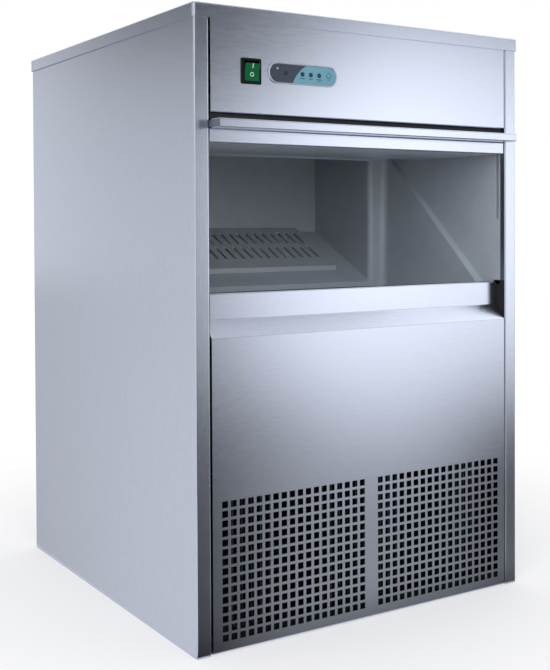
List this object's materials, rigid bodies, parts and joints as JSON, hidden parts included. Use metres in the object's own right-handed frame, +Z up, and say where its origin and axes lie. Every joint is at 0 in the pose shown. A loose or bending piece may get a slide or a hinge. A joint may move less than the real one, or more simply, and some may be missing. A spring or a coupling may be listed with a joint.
{
  "type": "ice cube machine",
  "caption": "Free-standing stainless ice machine with an up-and-over bin door, slotted ice slide, rocker switch, lamp display and square-hole front grilles.",
  "frame": {"origin": "middle of the cabinet's underside, on the floor", "axes": "+X to the machine's right seen from the front, +Y from the front to the back, +Z up"},
  "size_m": [0.5036, 0.5705, 0.75],
  "materials": {
    "stainless": "brushed",
    "galvanised": "satin",
    "liner_plastic": "satin",
    "nylon": "satin",
    "foam": "matt",
    "black_plastic": "satin",
    "rocker_green": "gloss",
    "display_rim": "satin",
    "display_film": "satin",
    "lamp_lens": "gloss",
    "circuit_board": "satin",
    "rod_steel": "polished",
    "white_plastic": "satin",
    "brass": "satin",
    "grey_plastic": "satin",
    "hose": "satin",
    "compressor_black": "gloss",
    "rubber": "matt",
    "fin_aluminium": "satin",
    "copper": "satin"
  },
  "bodies": {
    "cabinet": {"side_panel_left": "stainless", "side_panel_right": "stainless", "back_panel": "stainless", "top_lid": "stainless", "front_panel": "stainless", "control_panel": "stainless", "base_pan": "galvanised", "leg_nuts": "galvanised", "bin_ceiling": "galvanised", "bin_deck": "galvanised", "rear_shelf": "galvanised", "ice_unit_frame": "galvanised", "bin_liner": "liner_plastic", "ice_slide": "liner_plastic", "door_track_left": "liner_plastic", "door_track_right": "liner_plastic", "foam_left": "foam", "foam_right": "foam", "foam_front": "foam", "foam_bottom": "foam", "foam_back": "foam", "switch_housing": "black_plastic", "cord_gland": "black_plastic", "fan_shroud": "black_plastic", "control_box": "black_plastic", "display_bezel": "display_rim", "display_overlay": "display_film", "indicator_lamps": "lamp_lens", "display_board": "circuit_board", "float_stem": "rod_steel", "water_tank": "white_plastic", "pump": "white_plastic", "tray_motor": "white_plastic", "inlet_valve": "white_plastic", "water_inlet": "brass", "drain_spigot": "grey_plastic", "drain_hose": "hose", "compressor": "compressor_black", "fan_motor": "compressor_black", "compressor_feet": "rubber", "condenser": "fin_aluminium", "evaporator": "copper", "evaporator_clamps": "copper", "filter_drier": "copper", "discharge_pipe": "copper", "suction_pipe": "copper"},
    "rocker": {"power_rocker": "rocker_green"},
    "fan": {"fan_blade": "fin_aluminium"},
    "door_carriage": {"door_pivot_rod": "rod_steel", "door_rollers": "nylon"},
    "door": {"door_skin": "stainless", "door_liner": "liner_plastic", "door_core": "foam", "door_cheek_left": "liner_plastic", "door_cheek_right": "liner_plastic"},
    "tipping_tray": {"water_tray": "white_plastic"},
    "float": {"float_ring": "nylon"}
  },
  "joints": [
    {"name": "door_slide", "type": "slide", "parent": "cabinet", "child": "door_carriage", "axis": [0, -1, 0], "range_m": [0, 0.1691]},
    {"name": "door_tilt", "type": "hinge", "parent": "door_carriage", "child": "door", "pos_m": [0, -0.078, 0.6023], "axis": [1, 0, 0], "range_deg": [0, 90.5]},
    {"name": "power_switch", "type": "hinge", "parent": "cabinet", "child": "rocker", "pos_m": [-0.1743, -0.2575, 0.676], "axis": [-1, 0, 0], "range_deg": [0, 18]},
    {"name": "fan_spin", "type": "hinge", "parent": "cabinet", "child": "fan", "pos_m": [-0.09, -0.1785, 0.1], "axis": [0, 1, 0], "continuous": true},
    {"name": "tray_tip", "type": "hinge", "parent": "cabinet", "child": "tipping_tray", "pos_m": [0, 0.1125, 0.7], "axis": [1, 0, 0], "range_deg": [0, 60]},
    {"name": "float_rise", "type": "slide", "parent": "cabinet", "child": "float", "axis": [0, 0, 1], "range_m": [0, 0.016]}
  ],
  "couplings": [
    {"joint": "door_tilt", "follows": "door_slide", "rad_per_m": 9.2892}
  ]
}
